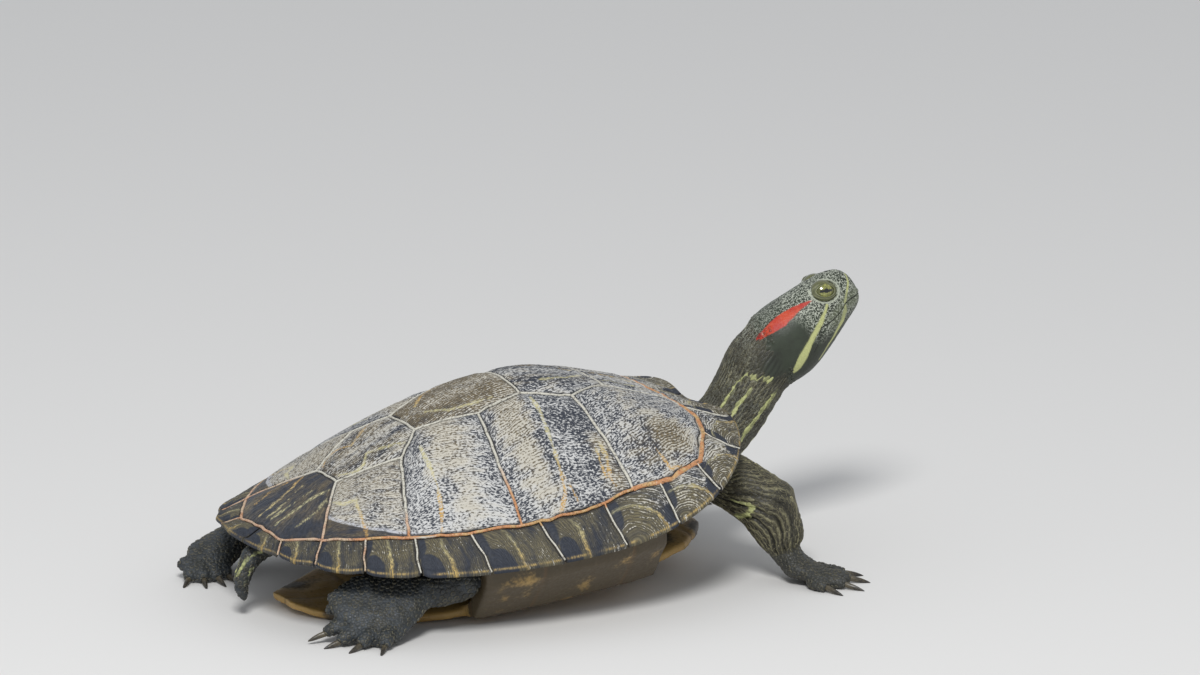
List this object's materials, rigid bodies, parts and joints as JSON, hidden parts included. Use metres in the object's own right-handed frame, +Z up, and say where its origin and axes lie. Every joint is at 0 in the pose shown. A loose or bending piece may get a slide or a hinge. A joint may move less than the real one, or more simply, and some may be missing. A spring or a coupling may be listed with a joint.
{
  "type": "red-eared slider turtle",
  "caption": "Still life-size freshwater turtle basking with its neck stretched up, domed patterned shell, striped skin and clawed webbed feet; rests on its belly and feet as a display model.",
  "frame": {"origin": "on the floor, under the middle of the model's bounding box", "axes": "+X the way the turtle faces, +Y its left side, +Z up"},
  "size_m": [0.3058, 0.191, 0.1236],
  "materials": {
    "carapace_horn": "horn scutes, dark slate and olive under a pale chalky film in growth rings, cream and orange seams",
    "marginal_horn": "horn scutes, olive tan with dark blotches, a pale bar on each and a yellow rim",
    "plastron_horn": "horn, dull yellow with a dark blotch on each scute",
    "skin": "scaly wrinkled skin, dark olive with thin yellow-green stripes and a red patch behind each eye",
    "eye": "wet, olive yellow iris with a dark bar through the pupil",
    "claw": "smooth dark horn, paler at the root"
  },
  "bodies": {
    "root": {"vertebral_1": "carapace_horn", "vertebral_2": "carapace_horn", "vertebral_3": "carapace_horn", "vertebral_4": "carapace_horn", "vertebral_5": "carapace_horn", "costal_left_1": "carapace_horn", "costal_left_2": "carapace_horn", "costal_left_3": "carapace_horn", "costal_left_4": "carapace_horn", "costal_right_1": "carapace_horn", "costal_right_2": "carapace_horn", "costal_right_3": "carapace_horn", "costal_right_4": "carapace_horn", "nuchal": "marginal_horn", "marginals_left_front": "marginal_horn", "marginals_left_bridge": "marginal_horn", "marginals_left_rear": "marginal_horn", "marginals_right_front": "marginal_horn", "marginals_right_bridge": "marginal_horn", "marginals_right_rear": "marginal_horn", "plastron": "plastron_horn", "trunk": "skin", "neck": "skin", "head": "skin", "lower_jaw": "skin", "tail": "skin", "upper_arm_left": "skin", "forearm_left": "skin", "forefoot_left": "skin", "thigh_left": "skin", "shank_left": "skin", "hindfoot_left": "skin", "eye_left": "eye", "front_claw_left_1": "claw", "front_claw_left_2": "claw", "front_claw_left_3": "claw", "front_claw_left_4": "claw", "front_claw_left_5": "claw", "hind_claw_left_1": "claw", "hind_claw_left_2": "claw", "hind_claw_left_3": "claw", "hind_claw_left_4": "claw", "upper_arm_right": "skin", "forearm_right": "skin", "forefoot_right": "skin", "thigh_right": "skin", "shank_right": "skin", "hindfoot_right": "skin", "eye_right": "eye", "front_claw_right_1": "claw", "front_claw_right_2": "claw", "front_claw_right_3": "claw", "front_claw_right_4": "claw", "front_claw_right_5": "claw", "hind_claw_right_1": "claw", "hind_claw_right_2": "claw", "hind_claw_right_3": "claw", "hind_claw_right_4": "claw"}
  },
  "joints": []
}
